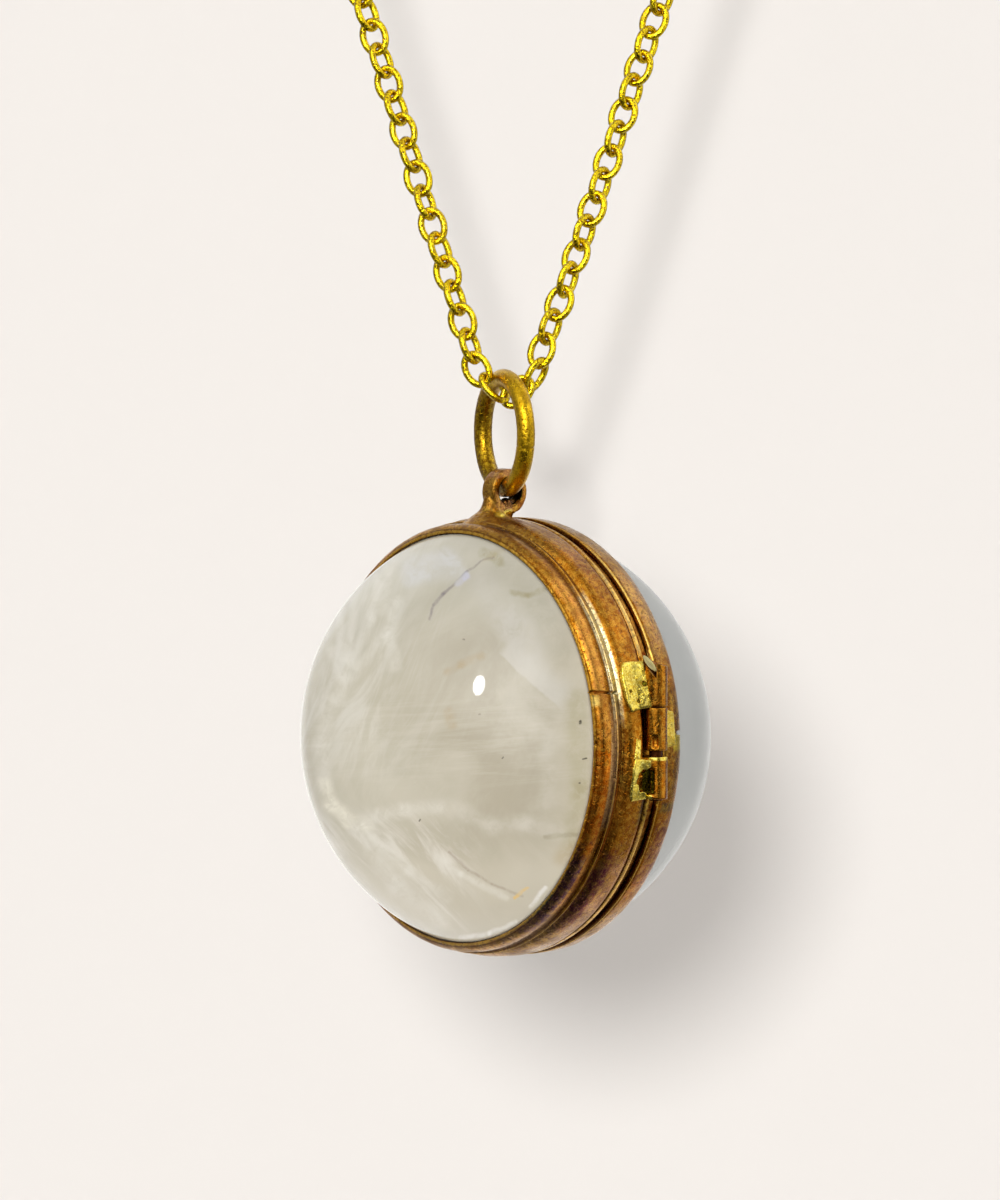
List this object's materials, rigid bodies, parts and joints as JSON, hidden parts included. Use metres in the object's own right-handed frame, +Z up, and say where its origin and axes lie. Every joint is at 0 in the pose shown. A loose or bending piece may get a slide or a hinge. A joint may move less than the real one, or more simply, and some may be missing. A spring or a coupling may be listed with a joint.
{
  "type": "crystal orb locket pendant necklace",
  "caption": "Orb locket of two domed rock crystals in hinged brass rings, hanging by a jump ring on a fine cable chain.",
  "frame": {"origin": "centre of the barrel clasp, where the chain lies on the nape", "axes": "+Z up, -Y to the wearer's front, +X to the wearer's left; the chain hangs in the plane of the front and the orb hangs below it"},
  "size_m": [0.1236, 0.1305, 0.2369],
  "materials": {
    "gold_plate": "bright yellow gold plate, polished",
    "olive_brass": "aged brass wire, fine pitting",
    "aged_brass": "copper-brown patina, worn bright on the ridges",
    "pin_metal": "pale filed metal",
    "rock_crystal": "polished, cloudy with pale veils"
  },
  "bodies": {
    "chain": {"chain": "gold_plate", "clasp": "gold_plate"},
    "jump_ring": {"jump_ring": "olive_brass"},
    "front_half": {"front_bezel": "aged_brass", "front_crystal": "rock_crystal", "hinge_pin": "pin_metal"},
    "rear_half": {"rear_bezel": "aged_brass", "rear_crystal": "rock_crystal"}
  },
  "joints": [
    {"name": "ring_swing", "type": "hinge", "parent": "chain", "child": "jump_ring", "pos_m": [-0.0025, -0.118, -0.20525], "axis": [1, 0, 0], "range_deg": [-60, 60]},
    {"name": "locket_swing", "type": "hinge", "parent": "jump_ring", "child": "front_half", "pos_m": [-0.0025, -0.118, -0.21007], "axis": [0.3907, -0.9205, 0], "range_deg": [-60, 60]},
    {"name": "locket_open", "type": "hinge", "parent": "front_half", "child": "rear_half", "pos_m": [0.00572, -0.12675, -0.22362], "axis": [0, 0, -1], "range_deg": [0, 160]}
  ]
}
